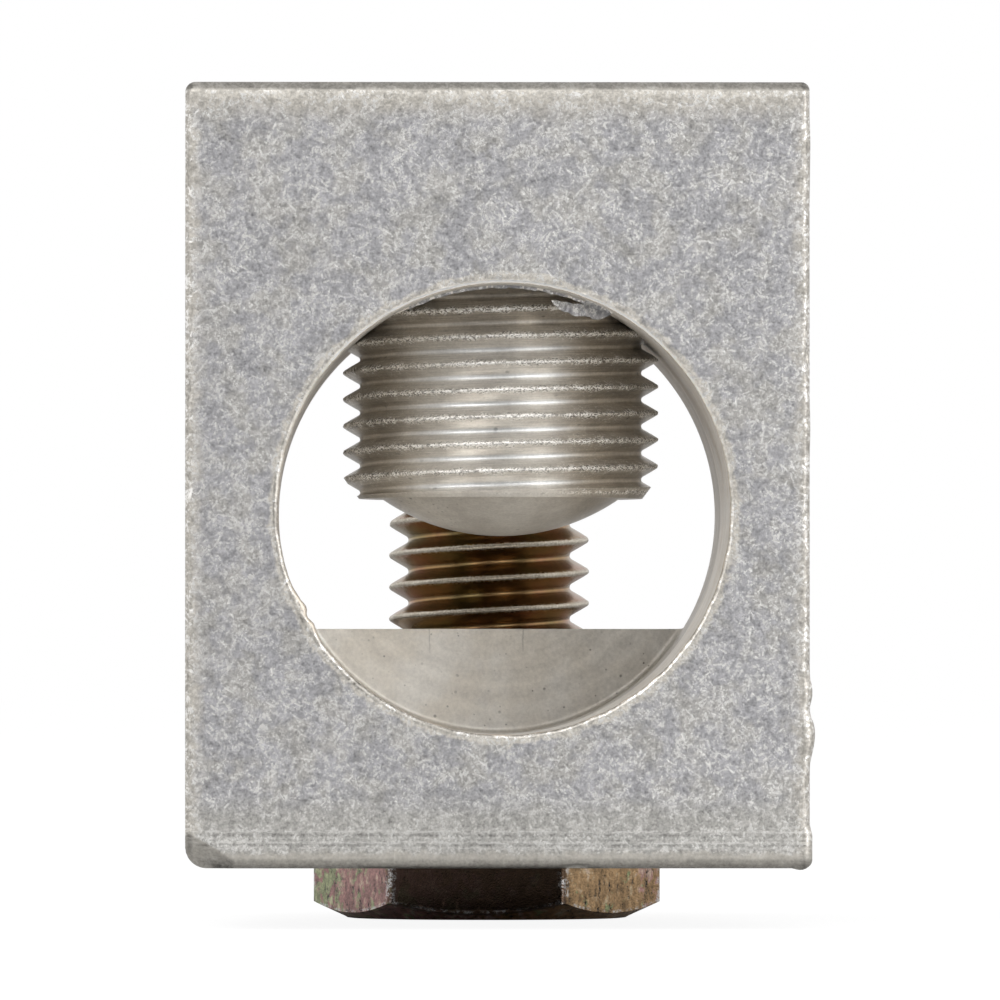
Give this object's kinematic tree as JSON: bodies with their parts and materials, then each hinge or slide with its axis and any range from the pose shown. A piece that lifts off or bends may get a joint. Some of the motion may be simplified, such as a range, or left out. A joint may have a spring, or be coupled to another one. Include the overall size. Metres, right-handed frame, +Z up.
{
  "type": "mechanical lug",
  "caption": "Mechanical cable lug: a drilled block clamps one stranded cable under a domed setscrew, and a hex bolt comes up through its tongue to fix it.",
  "frame": {"origin": "under the middle of the assembled lug, at the level of the bottom of the mounting bolt's head", "axes": "+Z up along both screws, +Y from the wire entry towards the end of the tongue, +X across the width"},
  "size_m": [0.0366, 0.0572, 0.0498],
  "materials": {
    "tin_plated_aluminium": "tumbled tin plating, satin",
    "setscrew_aluminium": "tin plating, bright",
    "yellow_zinc_steel": "yellow chromated zinc plating"
  },
  "bodies": {
    "lug": {"lug_body": "tin_plated_aluminium"},
    "wire_screw": {"setscrew": "setscrew_aluminium"},
    "bolt": {"mounting_bolt": "yellow_zinc_steel"}
  },
  "joints": [
    {"name": "setscrew_travel", "type": "slide", "parent": "lug", "child": "wire_screw", "axis": [0, 0, 1], "range_m": [-0.00635, 0.01429]},
    {"name": "bolt_travel", "type": "slide", "parent": "lug", "child": "bolt", "axis": [0, 0, -1], "range_m": [0, 0.02149]}
  ]
}
